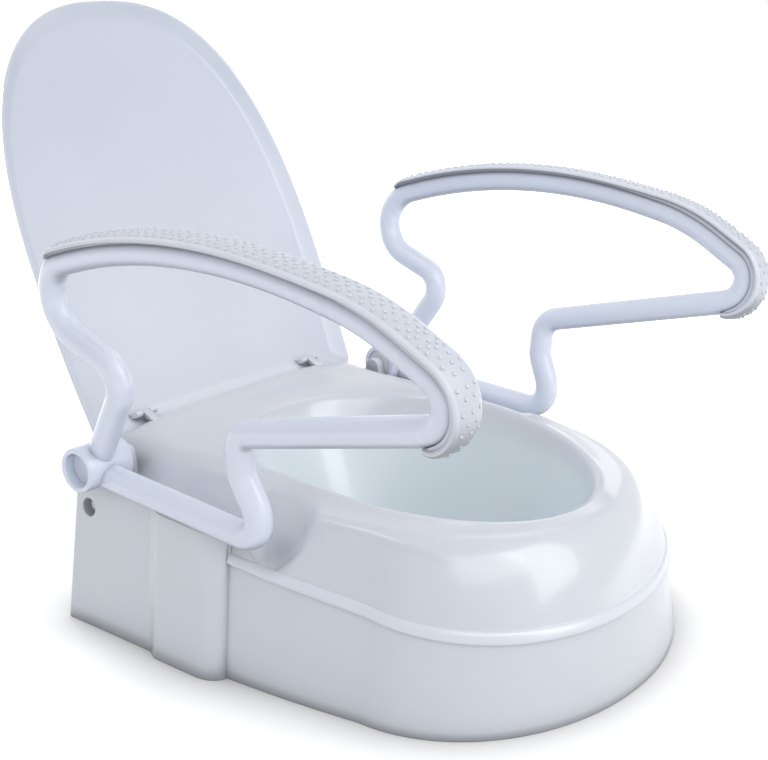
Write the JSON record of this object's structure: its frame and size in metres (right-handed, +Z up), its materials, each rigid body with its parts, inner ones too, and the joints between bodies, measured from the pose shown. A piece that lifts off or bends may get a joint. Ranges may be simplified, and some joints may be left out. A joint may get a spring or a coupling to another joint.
{
  "type": "toilet seat raiser",
  "caption": "Moulded raiser that sits over a toilet bowl, with a lid and padded tubular arm rails that swing up.",
  "frame": {"origin": "middle of the box round the whole part as it stands with the lid raised and the arms down, at the skirt's bottom", "axes": "+Z up; -Y towards the nose that the user faces; +X towards the left hand of the person who sits on it"},
  "size_m": [0.5688, 0.7072, 0.6001],
  "materials": {
    "hood_plastic": "smooth moulded gloss",
    "lid_plastic": "smooth moulded satin gloss",
    "coated_tube": "white powder coat",
    "pad_plastic": "soft satin with small nubs",
    "nylon": "natural nylon",
    "rubber": "matte",
    "steel": "zinc plated"
  },
  "bodies": {
    "body": {"body_shell": "hood_plastic", "rest_pad_front_right": "rubber", "rest_pad_front_left": "rubber", "rest_pad_rear_right": "rubber", "rest_pad_rear_left": "rubber", "lid_hinge_pin_right": "steel", "lid_hinge_pin_left": "steel", "right_axle_pin": "steel", "left_axle_pin": "steel", "right_hub_washer": "nylon", "left_hub_washer": "nylon", "right_side_screw": "steel", "left_side_screw": "steel"},
    "lid": {"lid": "lid_plastic"},
    "right_arm": {"right_arm_tube": "coated_tube", "right_hub_sleeve": "coated_tube", "right_hub_bush": "nylon", "right_arm_pad": "pad_plastic", "right_pad_screw_1": "steel", "right_pad_screw_2": "steel", "right_pad_screw_3": "steel"},
    "right_clamp": {"right_fixing_bolt": "nylon"},
    "right_cone": {"right_cone_washer": "rubber"},
    "right_nut": {"right_wing_nut": "nylon"},
    "left_arm": {"left_arm_tube": "coated_tube", "left_hub_sleeve": "coated_tube", "left_hub_bush": "nylon", "left_arm_pad": "pad_plastic", "left_pad_screw_1": "steel", "left_pad_screw_2": "steel", "left_pad_screw_3": "steel"},
    "left_clamp": {"left_fixing_bolt": "nylon"},
    "left_cone": {"left_cone_washer": "rubber"},
    "left_nut": {"left_wing_nut": "nylon"}
  },
  "joints": [
    {"name": "lid_hinge", "type": "hinge", "parent": "body", "child": "lid", "pos_m": [0, 0.16463, 0.192], "axis": [1, 0, 0], "range_deg": [0, 117]},
    {"name": "right_arm_hinge", "type": "hinge", "parent": "body", "child": "right_arm", "pos_m": [-0.2315, 0.11913, 0.176], "axis": [-1, 0, 0], "range_deg": [0, 90]},
    {"name": "right_clamp_slide", "type": "slide", "parent": "body", "child": "right_clamp", "axis": [0, 1, 0], "range_m": [-0.012, 0.012]},
    {"name": "right_cone_lower", "type": "slide", "parent": "right_clamp", "child": "right_cone", "axis": [0, 0, -1], "range_m": [0, 0.01]},
    {"name": "right_nut_turn", "type": "hinge", "parent": "right_cone", "child": "right_nut", "pos_m": [-0.0775, 0.11413, 0.04], "axis": [0, 0, -1], "range_deg": [0, 2880]},
    {"name": "left_arm_hinge", "type": "hinge", "parent": "body", "child": "left_arm", "pos_m": [0.2315, 0.11913, 0.176], "axis": [-1, 0, 0], "range_deg": [0, 90]},
    {"name": "left_clamp_slide", "type": "slide", "parent": "body", "child": "left_clamp", "axis": [0, 1, 0], "range_m": [-0.012, 0.012]},
    {"name": "left_cone_lower", "type": "slide", "parent": "left_clamp", "child": "left_cone", "axis": [0, 0, -1], "range_m": [0, 0.01]},
    {"name": "left_nut_turn", "type": "hinge", "parent": "left_cone", "child": "left_nut", "pos_m": [0.0775, 0.11413, 0.04], "axis": [0, 0, -1], "range_deg": [0, 2880]}
  ],
  "couplings": [
    {"joint": "right_cone_lower", "follows": "right_nut_turn", "m_per_rad": 0.00019894},
    {"joint": "left_cone_lower", "follows": "left_nut_turn", "m_per_rad": 0.00019894}
  ]
}
